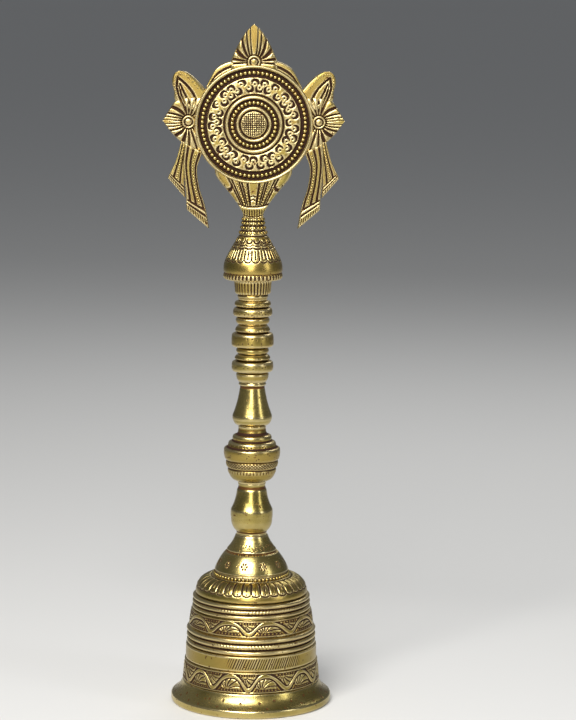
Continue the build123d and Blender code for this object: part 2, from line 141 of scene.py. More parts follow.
def carve(piece, relief=None, wobble=0.035):
    """Moves every vertex along its normal by relief(around, height, radius) millimetres, where
    around is the angle from the front, and by a little hand wobble. Returns the relief."""
    mesh = piece.data
    places, normals = read_vectors(mesh, "co") / MM, read_vectors(mesh, "normal")
    x, y, z = places.T
    cut = relief(np.arctan2(x, -y), z, np.hypot(x, y)) if relief else np.zeros_like(x)
    lift = cut + wobble * hand_wobble(x, y, z)
    mesh.vertices.foreach_set("co", ((places + normals * lift[:, None]) * MM).ravel())
    mesh.update()
    return cut


def mark_hollows(piece, reach=14, cut=0.0):
    """Writes attribute hollow: how far each vertex lies below its smoothed surroundings, in
    twentieths of a millimetre. It is positive in grooves, where patina stays, and negative on
    edges. Where a relief was cut in, its depth is added."""
    mesh = piece.data
    places, normals = read_vectors(mesh, "co").astype(np.float64), read_vectors(mesh, "normal")
    ends = np.empty(len(mesh.edges) * 2, np.int32)
    mesh.edges.foreach_get("vertices", ends)
    a, b = ends.reshape(-1, 2).T
    count = len(places)
    neighbours = np.bincount(a, minlength=count) + np.bincount(b, minlength=count)
    smooth = places.copy()
    for _ in range(reach):
        total = np.stack(
            [
                np.bincount(a, weights=smooth[b, k], minlength=count)
                + np.bincount(b, weights=smooth[a, k], minlength=count)
                for k in range(3)
            ],
            axis=1,
        )
        smooth = 0.5 * smooth + 0.5 * total / np.maximum(neighbours, 1)[:, None]
    depth = ((smooth - places) * normals).sum(axis=1) / MM * 20 + np.clip(-5 * cut, 0, 3)
    hollow = mesh.attributes.new("hollow", "FLOAT", "POINT")
    hollow.data.foreach_set("value", depth.astype(np.float32))


def ridge(distance, half_width):
    """1 on a line and 0 from half_width off it, rounded between."""
    return np.clip(1 - (distance / half_width) ** 2, 0, 1)


def rise(value, low, high):
    """0 below low and 1 above high, eased between."""
    share = np.clip((value - low) / (high - low), 0, 1)
    return share * share * (3 - 2 * share)


def arch(phase):
    """A half circle over each span: 0 where phase is 0 or 1, and 1 in the middle."""
    return np.sqrt(np.clip(1 - (2 * phase - 1) ** 2, 0, 1))


def repeat(around, count):
    """How far round each of count equal spans an angle lies, 0 to 1."""
    return (around / (2 * math.pi) * count) % 1


def dents(around, height, radius, marks):
    """The summed depth of punch marks, each (angle, height, half length, half width, slant)."""
    depth = np.zeros_like(height)
    for angle, level, half_length, half_width, slant in marks:
        along = ((around - angle + math.pi) % (2 * math.pi) - math.pi) * radius
        up = height - level
        near = (np.abs(along) < 3) & (np.abs(up) < 3)
        run = along[near] * math.cos(slant) + up[near] * math.sin(slant)
        off = up[near] * math.cos(slant) - along[near] * math.sin(slant)
        depth[near] = np.maximum(
            depth[near], np.clip(1 - (run / half_length) ** 2 - (off / half_width) ** 2, 0, 1)
        )
    return depth


chance = random.Random(11)
lip_marks = []
for index in range(52):
    row = index % 2
    lip_marks.append(
        (
            (index + chance.uniform(-0.3, 0.3)) * 2 * math.pi / 52,
            (4.6, 6.7)[row] + chance.uniform(-0.5, 0.5),
            chance.uniform(0.35, 0.75),
            chance.uniform(0.22, 0.34),
            chance.uniform(-1.2, 1.2),
        )
    )


def lip_relief(around, height, radius):
    outside = rise(radius - (38.0 - 0.9 * height), -1.0, -0.6) * rise(height, 3.4, 3.9)
    return -0.22 * outside * dents(around, height, radius, lip_marks)


cup_lip = turned(
    "cup_lip",
    [
        *fine(
            [
                (29.4, 10.1),
                (30.6, 10.0),
                *bow((30.9, 9.9), (mouth_radius - 0.15, 3.5), 0.9),
                (mouth_radius, 3.2),
                (mouth_radius, 0.7),
                (mouth_radius - 0.7, 0),
                (33.0, 0),
                *bow((32.8, 0.2), (28.2, 10.0), -0.9),
            ],
            0.36,
        ),
        *fine([(28.1, 10.4), (24.0, 42.4), (22.6, 48.9), (18.8, 53.1), (12.0, 54.8), (3.3, 54.8)], 1.0),
        (3.3, 56.6),
        (17.6, 56.6),
        (22.0, 53.8),
        (24.3, 49.5),
        (25.2, 42.6),
        (27.2, 34.8),
        (28.6, 20.0),
    ],
    512,
)
mark_hollows(cup_lip, 5, 4 * carve(cup_lip, lip_relief))

# ---- how old cast brass is coloured: one group, used by the four patinated brass materials below


def group_socket(tree, name, kind, default=None, into=True):
    """Adds an input of the group, or an output where into is False."""
    made = tree.interface.new_socket(name, in_out="INPUT" if into else "OUTPUT", socket_type=kind)
    if default is not None:
        made.default_value = default


def add(tree, kind, **settings):
    """A node of this kind. Settings are its properties, or input sockets by name with blanks as _."""
    node = tree.nodes.new(kind)
    for key, value in settings.items():
        if hasattr(node, key):
            setattr(node, key, value)
        else:
            node.inputs[key.replace("_", " ")].default_value = value
    return node


def noise(tree, place, scale, detail=3.0, roughness=0.55):
    node = add(tree, "ShaderNodeTexNoise", Scale=scale, Detail=detail, Roughness=roughness)
    tree.links.new(place, node.inputs["Vector"])
    return node.outputs["Fac"]


def feed(tree, socket, value):
    """Links a socket to this input, or sets the input to a plain value."""
    if isinstance(value, bpy.types.NodeSocket):
        tree.links.new(value, socket)
    else:
        socket.default_value = value


def spread(tree, value, low, high, to_low=0.0, to_high=1.0, smooth=True):
    """Maps low..high to to_low..to_high, held at both ends."""
    node = tree.nodes.new("ShaderNodeMapRange")
    node.interpolation_type = "SMOOTHSTEP" if smooth else "LINEAR"
    for slot, number in enumerate((value, low, high, to_low, to_high)):
        feed(tree, node.inputs[slot], number)
    return node.outputs[0]


def sums(tree, operation, *values):
    """One arithmetic step on sockets or plain numbers."""
    node = tree.nodes.new("ShaderNodeMath")
    node.operation = operation
    for slot, value in enumerate(values):
        feed(tree, node.inputs[slot], value)
    return node.outputs[0]


def blended(tree, share, first, second):
    """Mixes two colours, each a socket or an RGB tuple."""
    node = tree.nodes.new("ShaderNodeMix")
    node.data_type = "RGBA"
    tree.links.new(share, node.inputs["Factor"])
    for slot, colour in ((6, first), (7, second)):
        feed(tree, node.inputs[slot], (*colour, 1) if isinstance(colour, tuple) else colour)
    return node.outputs[2]


aged = bpy.data.node_groups.new("aged_brass", "ShaderNodeTree")
group_socket(aged, "Place", "NodeSocketVector")
group_socket(aged, "Hollow", "NodeSocketFloat", 0.0)
group_socket(aged, "Patina", "NodeSocketFloat", 1.0)
group_socket(aged, "Pits", "NodeSocketFloat", 0.5)
group_socket(aged, "Gloss", "NodeSocketFloat", 0.3)
group_socket(aged, "Metal", "NodeSocketColor", (0.38, 0.27, 0.072, 1))
group_socket(aged, "Color", "NodeSocketColor", into=False)
for output in ("Roughness", "Metallic", "Height"):
    group_socket(aged, output, "NodeSocketFloat", into=False)
inside = aged.nodes.new("NodeGroupInput")
place = inside.outputs["Place"]
cloud = noise(aged, place, 90, 3)
grain = noise(aged, place, 1500, 3, 0.6)
specks = noise(aged, place, 620, 2, 0.5)
tone = noise(aged, place, 38, 2)
stain = spread(aged, inside.outputs["Hollow"], 0.12, 1.15)
stain = sums(aged, "MULTIPLY", stain, inside.outputs["Patina"])
ragged = sums(aged, "MULTIPLY_ADD", sums(aged, "SUBTRACT", cloud, 0.5), 0.8, inside.outputs["Hollow"])
film = sums(aged, "MULTIPLY", spread(aged, ragged, -0.25, 1.0, 0.0, 0.46), inside.outputs["Patina"])
pit = sums(aged, "MULTIPLY", spread(aged, specks, 0.665, 0.73), inside.outputs["Pits"])
dirt = sums(aged, "MAXIMUM", sums(aged, "MAXIMUM", stain, film), pit)
olive = blended(aged, spread(aged, tone, 0.35, 0.7), inside.outputs["Metal"], (0.30, 0.235, 0.062))
worn = spread(aged, inside.outputs["Hollow"], -1.8, -0.3, 1.0, 0.0)
bright = blended(aged, sums(aged, "MULTIPLY", worn, 0.6), olive, (0.72, 0.60, 0.33))
warm = blended(aged, spread(aged, dirt, 0.0, 0.55), bright, (0.15, 0.062, 0.014))
dark = blended(aged, spread(aged, dirt, 0.42, 0.95), warm, (0.028, 0.010, 0.004))
out = aged.nodes.new("NodeGroupOutput")
aged.links.new(dark, out.inputs["Color"])
rough = sums(aged, "MULTIPLY_ADD", sums(aged, "SUBTRACT", grain, 0.5), 0.16, inside.outputs["Gloss"])
rough = sums(aged, "MULTIPLY_ADD", dirt, 0.42, rough)
aged.links.new(rough, out.inputs["Roughness"])
aged.links.new(spread(aged, dirt, 0.3, 0.9, 1.0, 0.2), out.inputs["Metallic"])
height = sums(aged, "MULTIPLY_ADD", pit, -0.8, sums(aged, "MULTIPLY", grain, 0.35))
height = sums(aged, "MULTIPLY_ADD", cloud, 0.9, height)
aged.links.new(height, out.inputs["Height"])


def new_metal(name):
    """A new material with its tree, its shader and the coordinates of the piece."""
    material = bpy.data.materials.new(name)
    material.use_nodes = True
    tree = material.node_tree
    place = tree.nodes.new("ShaderNodeTexCoord").outputs["Object"]
    return material, tree, tree.nodes["Principled BSDF"], place


def brass(name, patina, pits, gloss, metal=(0.38, 0.27, 0.072), bump=0.00006):
    """A brass with its own amounts of patina and pits, and its own roughness."""
    material, tree, shader, place = new_metal(name)
    shader.inputs["Specular IOR Level"].default_value = 0.25
    hollow = add(tree, "ShaderNodeAttribute", attribute_name="hollow")
    group = tree.nodes.new("ShaderNodeGroup")
    group.node_tree = aged
    tree.links.new(place, group.inputs["Place"])
    tree.links.new(hollow.outputs["Fac"], group.inputs["Hollow"])
    for socket, value in (("Patina", patina), ("Pits", pits), ("Gloss", gloss), ("Metal", (*metal, 1))):
        group.inputs[socket].default_value = value
    relief = add(tree, "ShaderNodeBump", Strength=1.0, Distance=bump)
    tree.links.new(group.outputs["Height"], relief.inputs["Height"])
    tree.links.new(group.outputs["Color"], shader.inputs["Base Color"])
    tree.links.new(group.outputs["Roughness"], shader.inputs["Roughness"])
    tree.links.new(group.outputs["Metallic"], shader.inputs["Metallic"])
    tree.links.new(relief.outputs["Normal"], shader.inputs["Normal"])
    return material


cast_brass = brass("cast_brass", patina=1.0, pits=0.8, gloss=0.30)
polished_brass = brass("polished_brass", patina=0.7, pits=0.5, gloss=0.24, metal=(0.54, 0.43, 0.16))
beaded_brass = brass("beaded_brass", patina=1.0, pits=0.3, gloss=0.27)
dark_brass = brass("dark_brass", patina=1.2, pits=0.7, gloss=0.34, metal=(0.27, 0.185, 0.050))


def finish_piece(piece, material, node, body="bell"):
    """Gives a new piece its metal, says which body it rides on, and hides the model's part that it stands
    for.
    """
    piece.data.materials.append(material)
    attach(piece, body)
    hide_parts(node)


finish_piece(cup_lip, polished_brass, "bell_cup")

# ------------------------------------------------------------------------ leaf bands of the cup
# Two bands of a running leaf scroll, cast in low relief: a wavy stem with a leaf in every bend,
# the leaf's edge worked into small beads. The ground between is sunk and nearly black.


def leaf_scroll(around, height, low, high, radius, repeats, start):
    """0 on raised stem, leaves and borders, down to -1 on the sunk ground."""
    drift = 0.03 * np.sin(3 * around + 1.0) + 0.018 * np.sin(8 * around)
    along = ((around + start + drift) / (2 * math.pi) * repeats) % 1
    pitch = 2 * math.pi * radius / repeats
    half = (high - low) / 2
    across = (height - low) / half - 1
    swing = 0.70
    turn = 2 * math.pi * along
    phase = turn + 0.35 * np.sin(turn)
    stem_line = -swing * np.cos(phase)
    slope = swing * half * 2 * math.pi / pitch * np.sin(phase) * (1 + 0.35 * np.cos(turn))
    off_stem = np.abs(across - stem_line) * half / np.sqrt(1 + slope**2)
    stem_half = 0.60 + 0.14 * np.cos(2 * turn + 0.6)
    stem = 1 - rise(off_stem, stem_half, stem_half + 0.3)
    under = (along > 0.25) & (along < 0.75)
    beside = np.where(under, along - 0.5, (along + 0.5) % 1 - 0.5) * pitch
    from_edge = np.where(under, across + 1, 1 - across) * half
    inside_bend = np.where(under, across < stem_line, across > stem_line)
    leaf_half = 0.31 * pitch
    lower_edge = 1.3 + 0.3 * np.abs(np.sin(beside * 2.4))
    leaf = inside_bend * rise(off_stem, stem_half + 0.55, stem_half + 0.85)
    leaf = leaf * rise(from_edge, lower_edge, lower_edge + 0.3)
    leaf = leaf * (1 - rise(np.abs(beside), leaf_half - 0.5, leaf_half))
    reach = np.hypot(beside + 0.3 * leaf_half, from_edge - 1.3)
    spokes = np.arctan2(from_edge - 1.3, beside + 0.3 * leaf_half) * 2.1
    veins = ridge((spokes + 0.16 * reach) % 1 - 0.5, 1.5 / (1 + 2 * reach)) * rise(reach, 0.8, 1.4)
    leaf = leaf * (1 - 0.75 * veins)
    bead_pitch = leaf_half / 4
    bead_x = (beside + bead_pitch / 2) % bead_pitch - bead_pitch / 2
    beads = ridge(np.hypot(bead_x, from_edge - 1.0), 0.52) * (np.abs(beside) < leaf_half * 1.05)
    border = rise(np.abs(across), 0.90, 0.94)
    ground = 0.55 * rise(off_stem, stem_half + 0.7, stem_half + 1.2) * rise(np.abs(across), 0.25, 0.5)
    raised = np.maximum.reduce([stem, 0.9 * leaf, 0.8 * np.sqrt(beads), border, ground])
    return raised - 1


def leaf_band(name, outline, low, high, radius, repeats, start, depth):
    """One band, its scroll repeating round it between the heights low and high."""
    piece = turned(name, outline, 800)
    cut = carve(
        piece,
        lambda around, height, r: depth
        * leaf_scroll(around, height, low, high, radius, repeats, start)
        * rise(r - radius, -1.6, -1.4)
        * rise(height, low + 0.02, low + 0.12)
        * (1 - rise(height, high - 0.12, high - 0.02)),
    )
    mark_hollows(piece, 8, 0.7 * cut)
    finish_piece(piece, cast_brass, "bell_cup")


leaf_band(
    "cup_lower_leaf_band",
    [(28.4, 10.2), *fine([(30.4, 10.25), (31.05, 10.5), (30.15, 19.3), (29.5, 19.5)], 0.26, 1), (28.4, 19.5)],
    low=10.5,
    high=19.3,
    radius=30.6,
    repeats=11,
    start=0.02,
    depth=0.5,
)
leaf_band(
    "cup_upper_leaf_band",
    [(26.2, 35.2), *fine([(27.5, 35.25), (28.3, 35.5), (27.25, 42.2), (26.4, 42.4)], 0.26, 1), (25.4, 42.4)],
    low=35.5,
    high=42.2,
    radius=27.8,
    repeats=9,
    start=0.02,
    depth=0.48,
)

# ------------------------------------------------------------------------ plain band and rings
# Between the leaf bands: a plain turned band, cut across with slanting graver strokes at its
# front and back, and three half-round rings. Three more rings close the cup under its shoulder. The
# middle ring of each group is nicked like a rope, worn away in places.


def half_round(root, crest, low, high, steps=8, groove=0.0):
    """One half-round ring of an outline, with half a flat groove left at each side of it."""
    middle, half = (low + high) / 2, (high - low) / 2 - groove
    return [
        (root + (crest - root) * math.sin(math.pi * k / steps), middle - half * math.cos(math.pi * k / steps))
        for k in range(steps + 1)
    ]


def rope_nicks(around, height, low, high, count, slant, depth):
    """Slanting nicks across one ring, deepest where they are least worn."""
    across = (height - (low + high) / 2) / (high - low) * 2
    nick = ridge(((around * count / (2 * math.pi) + slant * across) % 1) - 0.5, 0.32)
    kept = 0.55 + 0.45 * np.sin(3 * around + 1.1) * np.sin(7 * around + 0.3)
    return -depth * nick * kept * np.clip(1 - across**2, 0, 1)


def rings_relief(around, height, radius):
    outside = rise(radius, 27.7, 27.9)
    front = rise(around, -0.42, -0.25) * (1 - rise(around, 0.66, 0.9))
    back = rise(np.abs(around), 2.55, 2.75)
    side_step = around * 29.6 - 0.42 * (height - 23)
    strokes = ridge((side_step / 1.15 + 0.12 * np.sin(1.3 * side_step)) % 1 - 0.5, 0.27)
    length = rise(height, 20.6, 21.3 + 0.4 * np.sin(5 * side_step)) * (1 - rise(height, 25.3, 26.1))
    cut = -0.22 * strokes * length * np.maximum(front, back) * (0.75 + 0.25 * np.sin(0.9 * side_step))
    return outside * (cut + rope_nicks(around, height, 29.2, 31.9, 120, 0.35, 0.26))


rings_outline = [(29.1, 19.7), (29.6, 20.0), (29.55, 26.3), (28.9, 26.5)]
ring_pitch = 2.75
for index in range(3):
    start = 26.5 + ring_pitch * index
    rings_outline += half_round(28.0, 29.25, start, start + ring_pitch, groove=0.28)
cup_rings = turned(
    "cup_band_and_rings",
    [(27.0, 19.6), (28.9, 19.6), *fine(rings_outline, 0.3, 1), (27.5, 34.9), (26.6, 34.9)],
    800,
)
mark_hollows(cup_rings, 14, carve(cup_rings, rings_relief))
finish_piece(cup_rings, cast_brass, "bell_cup")


def upper_rings_relief(around, height, radius):
    return rope_nicks(around, height, 44.8, 47.1, 110, -0.3, 0.24) * rise(radius, 25.3, 25.5)


upper_outline = []
upper_pitch = 2.3
for index in range(3):
    start = 42.5 + upper_pitch * index
    upper_outline += half_round(25.6, 26.8 - 0.12 * index, start, start + upper_pitch, groove=0.24)
upper_rings = turned("cup_upper_rings", [(24.8, 42.4), *fine(upper_outline, 0.28, 1), (24.3, 49.5)], 512)
mark_hollows(upper_rings, 14, carve(upper_rings, upper_rings_relief))
finish_piece(upper_rings, cast_brass, "bell_cup")

# ------------------------------------------------------------------------ cup shoulder
# The round shoulder: a smooth roll below, and above it a ring of long petals with scalloped
# ends, cut with a graver towards the handle.

petal_count = 36


def shoulder_relief(around, height, radius):
    share = around / (2 * math.pi) * petal_count
    phase = share % 1
    odd = np.floor(share) % 2
    middle = np.abs(phase - 0.5)
    ends = 52.75 + 1.15 * (1 - arch(phase))
    width = 2 * math.pi * radius / petal_count
    between = ridge((0.5 - middle) * width, 0.42) * rise(height, ends + 0.1, ends + 0.6)
    scallop = ridge(height - ends, 0.34)
    slit_low = 54.2 + 0.5 * odd
    slit = ridge(middle * width, 0.30) * rise(height, slit_low, slit_low + 0.3)
    slit = slit * (1 - rise(height, 56.3, 57.2))
    drop = ridge(np.hypot(middle * width, (height - ends - 0.85) * 1.1), 0.42)
    swell = 0.16 * np.clip(1 - (2 * phase - 1) ** 2, 0, 1) * rise(height, ends, ends + 0.5)
    worn = 0.62 + 0.38 * np.sin(2 * around + 0.6) * np.sin(5 * around)
    cuts = np.maximum.reduce([0.42 * between, 0.26 * scallop, 0.36 * slit * (0.3 + 0.7 * odd), 0.26 * drop])
    outside = rise(radius, 18.3, 18.9) * rise(height, 51.0, 51.6)
    return outside * (swell - cuts * (0.65 + 0.5 * worn))


cup_shoulder = turned(
    "cup_shoulder",
    [
        (23.8, 49.3),
        *fine(
            [
                (24.3, 49.35),
                (25.05, 49.8),
                (25.25, 50.4),
                *bow((25.2, 51.2), (18.7, crown_top), 1.55, 14),
                (18.0, crown_top - 0.5),
            ],
            0.24,
            1,
        ),
        (16.0, crown_top - 0.6),
        (16.0, 56.4),
        (21.0, 54.0),
        (23.4, 51.0),
    ],
    720,
)
mark_hollows(cup_shoulder, 10, 0.8 * carve(cup_shoulder, shoulder_relief))
finish_piece(cup_shoulder, cast_brass, "bell_cup")

# ======================================================================== crown bead ring
# A loose cast ring between the crown and the handle: a dark hollow seat with a row of round
# beads standing in it.


def bead_row(name, places, radius, flatten=1.0, axis=None):
    """Small round beads, one at each place in millimetres. Their undersides are marked as hollow,
    because patina stays round their feet. axis(place) is the way a bead faces."""
    shape = bmesh.new()
    layer = shape.verts.layers.float.new("hollow")
    for place in places:
        facing = Vector(axis(place)).normalized() if axis else Vector((0, -1, 0))
        turn = facing.to_track_quat("Z", "Y").to_matrix().to_4x4()
        stand = Matrix.Translation(Vector(place) * MM) @ turn @ Matrix.Diagonal((1, 1, flatten, 1))
        made = bmesh.ops.create_icosphere(shape, subdivisions=2, radius=radius * MM, matrix=stand)
        centre = Vector(place) * MM
        for vert in made["verts"]:
            height = (vert.co - centre).dot(facing) / (radius * MM * flatten)
            vert[layer] = 1.7 - 3.0 * height
    return as_piece(name, shape)


def round_places(radius, height, count, start=0.0):
    return [
        (
            radius * math.sin(start + 2 * math.pi * k / count),
            -radius * math.cos(start + 2 * math.pi * k / count),
            height,
        )
        for k in range(count)
    ]


bore_radius = 3.4  # the hole for the tie rod, in the bead ring and all along the handle
ring_low, ring_high = (corner[2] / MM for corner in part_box("crown_bead_ring"))
ring_seat = turned(
    "crown_ring_seat",
    [
        (bore_radius, ring_low),
        *fine([(17.9, ring_low), (17.9, ring_low + 0.25), (16.3, ring_low + 0.7), (16.2, ring_high)], 0.3, 1),
        (bore_radius, ring_high),
    ],
    384,
)
carve(ring_seat)
mark_hollows(ring_seat, 20)
finish_piece(ring_seat, cast_brass, "crown_bead_ring")
ring_beads = bead_row(
    "crown_ring_beads",
    round_places(16.6, ring_low + 1.0, 58),
    0.86,
    axis=lambda place: (place[0], place[1], 9.0),
)
finish_piece(ring_beads, beaded_brass, "crown_bead_ring")

# ======================================================================== handle foot
# The handle's spreading foot, cast and turned: a polished skirt stamped with round flowers, a
# nicked groove, and a cone stippled with a punch up to the neck.

foot_low, foot_high = (corner[2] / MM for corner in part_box("handle_foot"))


def flower_stamp(around, height, radius, angle, level, size):
    """A stamped flower: six round petals about a dot. 1 where the punch went deepest."""
    x = ((around - angle + math.pi) % (2 * math.pi) - math.pi) * radius
    y = height - level
    off = np.hypot(x, y)
    turn = np.arctan2(y, x)
    petals = ridge(off - 0.64 * size, 0.36 * size) * np.cos(3 * turn) ** 2
    dot = ridge(off, 0.22 * size)
    return np.maximum(petals, 0.8 * dot) * (off < size)


chance = random.Random(5)
foot_stipple = [
    (
        chance.uniform(0, 2 * math.pi),
        chance.uniform(foot_low + 10.2, foot_low + 13.0),
        chance.uniform(0.25, 0.42),
        chance.uniform(0.2, 0.3),
        chance.uniform(0, 3.1),
    )
    for _ in range(150)
]
nick_count = 46
groove_nicks = [
    (
        2 * math.pi * (k + chance.uniform(-0.25, 0.25)) / nick_count,
        foot_low + 9.0,
        0.34,
        0.5,
        chance.uniform(-0.3, 0.3),
    )
    for k in range(nick_count)
]
flower_count = 11


def foot_relief(around, height, radius):
    stamps = np.zeros_like(height)
    for k in range(flower_count):
        angle = math.radians(-12.6 + 360 * k / flower_count)
        stamps = np.maximum(stamps, flower_stamp(around, height, radius, angle, foot_low + 4.4, 1.7))
    outside = rise(radius, 6.0, 6.4)
    shown = rise(np.sin(1.0 * around + 0.9) + 0.4 * np.sin(3 * around), -0.4, 0.5)
    marks = 0.2 * shown * dents(around, height, radius, foot_stipple)
    return outside * (-0.42 * stamps - marks - 0.3 * dents(around, height, radius, groove_nicks))


handle_foot = turned(
    "foot_shell",
    [
        (bore_radius, foot_low),
        *fine(
            [
                (15.9, foot_low),
                (16.7, foot_low + 0.5),
                *bow((16.6, foot_low + 0.9), (12.0, foot_low + 8.7), 0.4),
                (11.5, foot_low + 8.85),
                (10.7, foot_low + 9.2),
                (11.2, foot_low + 9.6),
                *bow((11.1, foot_low + 10.0), (7.3, foot_high - 0.3), -0.4),
                (6.9, foot_high),
            ],
            0.26,
        ),
        (bore_radius, foot_high),
    ],
    480,
)
mark_hollows(handle_foot, 14, carve(handle_foot, foot_relief))
finish_piece(handle_foot, polished_brass, "handle_foot")

# ======================================================================== lower vase
# A polished vase turned from bar: round belly, long hollow neck, a thin lip, and a bare neck
# under the knop. It carries small pits.


def plain_turned(name, node, rows, facets=256, material=None, relief=None, grain=0.3):
    """A turned length of the handle. rows are (radius, height above the part's foot) points."""
    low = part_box(node)[0][2] / MM
    outline = [(r, low + up) for r, up in rows]
    ends = [(bore_radius, outline[0][1]), (bore_radius, outline[-1][1])]
    piece = turned(name, [ends[0], *fine(outline, grain), ends[1]], facets)
    mark_hollows(piece, 14, carve(piece, relief))
    finish_piece(piece, material or polished_brass, node)


plain_turned(
    "lower_vase_body",
    "lower_vase",
    [
        (6.9, 0),
        (6.7, 0.8),
        *bow((6.9, 1.4), (9.3, 7.2), 0.75),
        (9.5, 8.6),
        (9.5, 10.4),
        *bow((9.4, 11.4), (6.7, 20.2), -0.45),
        (6.55, 20.7),
        (6.2, 21.0),
        (6.0, 22.2),
        (6.3, 23.5),
    ],
)

# ======================================================================== handle knop
# The stepped knop that stops the hand: a scalloped cup, a band cut with crossing strokes, a
# smooth drum, a stamped step, and a small disc below the upper vase's neck.

knop_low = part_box("handle_knop")[0][2] / MM
chance = random.Random(23)
drum_marks = [
    (
        chance.uniform(0, 6.28),
        knop_low + chance.uniform(11.6, 15.4),
        chance.uniform(0.3, 0.6),
        0.22,
        chance.uniform(0, 3),
    )
    for _ in range(46)
]
step_count = 30
step_marks = [
    (
        2 * math.pi * (k + chance.uniform(-0.3, 0.3)) / step_count,
        knop_low + 17.6 + chance.uniform(-0.5, 0.5),
        0.5,
        0.25,
        chance.choice((-0.8, 0.8)),
    )
    for k in range(step_count)
]


def knop_relief(around, height, radius):
    up = height - knop_low
    arc = around * 11.6
    first = ridge(((arc + 1.3 * (up - 8.6)) / 1.55) % 1 - 0.5, 0.24)
    second = ridge(((arc - 1.3 * (up - 8.6)) / 1.55) % 1 - 0.5, 0.24)
    lattice = np.maximum(first, second) * rise(up, 7.4, 7.8) * (1 - rise(up, 9.8, 10.2))
    scallop = ridge(up - 1.9 + 0.8 * arch(repeat(around, 18)), 0.3)
    flutes = ridge(repeat(around, 44) - 0.5, 0.25)
    flutes = flutes * rise(up, 4.6, 5.2) * (1 - rise(up, 6.0, 6.6))
    marks = dents(around, height, radius, drum_marks) * 0.18 + dents(around, height, radius, step_marks) * 0.3
    return rise(radius, 6.4, 6.9) * -(0.36 * lattice + 0.22 * scallop + 0.13 * flutes + marks)


plain_turned(
    "knop_body",
    "handle_knop",
    [
        (6.3, 0),
        (6.3, 0.6),
        *bow((6.5, 1.0), (9.6, 2.9), 0.45),
        (9.9, 3.3),
        *bow((10.3, 4.2), (10.9, 6.5), 0.2),
        (10.5, 6.85),
        (10.9, 7.25),
        *bow((11.35, 7.6), (11.75, 10.0), 0.15),
        (11.3, 10.4),
        (11.8, 10.8),
        *bow((12.2, 11.3), (12.6, 15.7), 0.25),
        (12.2, 16.2),
        (11.2, 16.35),
        (11.0, 16.6),
        (10.6, 18.6),
        (9.9, 19.1),
        (8.7, 19.3),
        *bow((8.7, 19.8), (8.4, 21.8), 0.25),
        (7.1, 22.2),
        (6.5, 22.8),
        (6.15, 24.5),
        (6.3, 26.0),
    ],
    448,
    cast_brass,
    knop_relief,
    0.25,
)

# ======================================================================== upper vase
# Like the lower vase, but with a sharp edge round its belly and a straight-sided cone above.

plain_turned(
    "upper_vase_body",
    "upper_vase",
    [
        (6.3, 0),
        *bow((6.4, 0.3), (8.6, 2.6), 0.5),
        (8.9, 3.2),
        (8.9, 4.6),
        *bow((8.75, 5.0), (5.7, 16.6), -0.35),
        (5.45, 17.4),
        (5.5, 18.2),
        *half_round(5.5, 6.25, 18.3, 19.7),
        (5.8, 20.0),
    ],
)

# ======================================================================== grip rings
# Three turned rings make the grip. Each is a drum between two narrow beads, with dark grooves
# between them, and punched with small dots that a hand has half worn away.

# The three bands of each ring from below: (height, lower radius, upper radius).
grip_profiles = {
    "lower_grip_ring": ((4.5, 6.8, 7.3), (5.2, 9.2, 9.2), (2.9, 8.0, 7.5)),
    "middle_grip_ring": ((3.1, 7.2, 7.2), (6.6, 9.4, 9.2), (3.5, 7.9, 7.1)),
    "upper_grip_ring": ((3.6, 7.3, 7.5), (4.3, 8.7, 8.6), (3.1, 8.1, 7.9)),
}
dots_round = 26
nicks_round = 24
groove_radius = 6.3
for number, (node, bands) in enumerate(grip_profiles.items()):
    chance = random.Random(40 + number)
    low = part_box(node)[0][2] / MM
    drum_low = low + bands[0][0]
    drum_high = drum_low + bands[1][0]
    rows = 2 if number else 1
    dots = [
        (
            2 * math.pi * (k + chance.uniform(-0.2, 0.2)) / dots_round,
            drum_low + (drum_high - drum_low) * (row + 1) / (rows + 1) + chance.uniform(-0.3, 0.3),
            chance.uniform(0.3, 0.42),
            chance.uniform(0.24, 0.34),
            chance.uniform(0, 3),
        )
        for k in range(dots_round)
        for row in range(rows)
        if chance.random() < 0.8
    ]
    nicks = [
        (2 * math.pi * (k + chance.uniform(-0.3, 0.3)) / nicks_round, drum_high + 1.2, 0.3, 0.4, 0.0)
        for k in range(nicks_round)
        if chance.random() < 0.7
    ]

    def grip_relief(around, height, radius, dots=dots, nicks=nicks):
        return -0.26 * rise(radius, 6.4, 6.8) * dents(around, height, radius, dots + nicks)

    rows_up, start = [], 0.0
    for band_height, lower_radius, upper_radius in bands:
        end = start + band_height
        rows_up += [
            (groove_radius, start + 0.12),
            (lower_radius - 0.55, start + 0.3),
            *bow((lower_radius, start + 0.9), (upper_radius, end - 0.9), 0.12),
            (upper_radius - 0.55, end - 0.3),
            (groove_radius, end - 0.12),
        ]
        start = end
    plain_turned(node + "_body", node, rows_up, 320, cast_brass, grip_relief, 0.24)

# ======================================================================== top collar
# A short neck and a fluted collar, cast, its flutes filled with patina under the cap's shade.


def collar_relief(around, height, radius):
    flute = ridge(repeat(around, 34) - 0.5, 0.3)
    kept = 0.35 + 0.65 * rise(np.sin(around + 0.2), -0.2, 0.5)
    return -0.32 * flute * kept * rise(radius, 7.3, 7.6)


plain_turned(
    "collar_body",
    "top_collar",
    [
        (6.3, 0),
        (6.5, 0.3),
        (6.5, 1.0),
        (6.9, 1.4),
        (6.9, 2.1),
        (6.5, 2.5),
        (7.6, 2.9),
        (7.95, 3.4),
        (8.3, 7.6),
        (8.5, 8.9),
        (8.4, 9.2),
    ],
    384,
    cast_brass,
    collar_relief,
    0.26,
)

# ======================================================================== finial cap
# The domed skirt under the finial, cast with it in one style: a beaded rim, a polished band,
# hanging tongues under double scallops, a row of discs, and rows of beads up the neck.

cap_low, cap_high = (corner[2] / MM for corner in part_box("finial_cap"))
tongue_count = 21
disc_count = 14


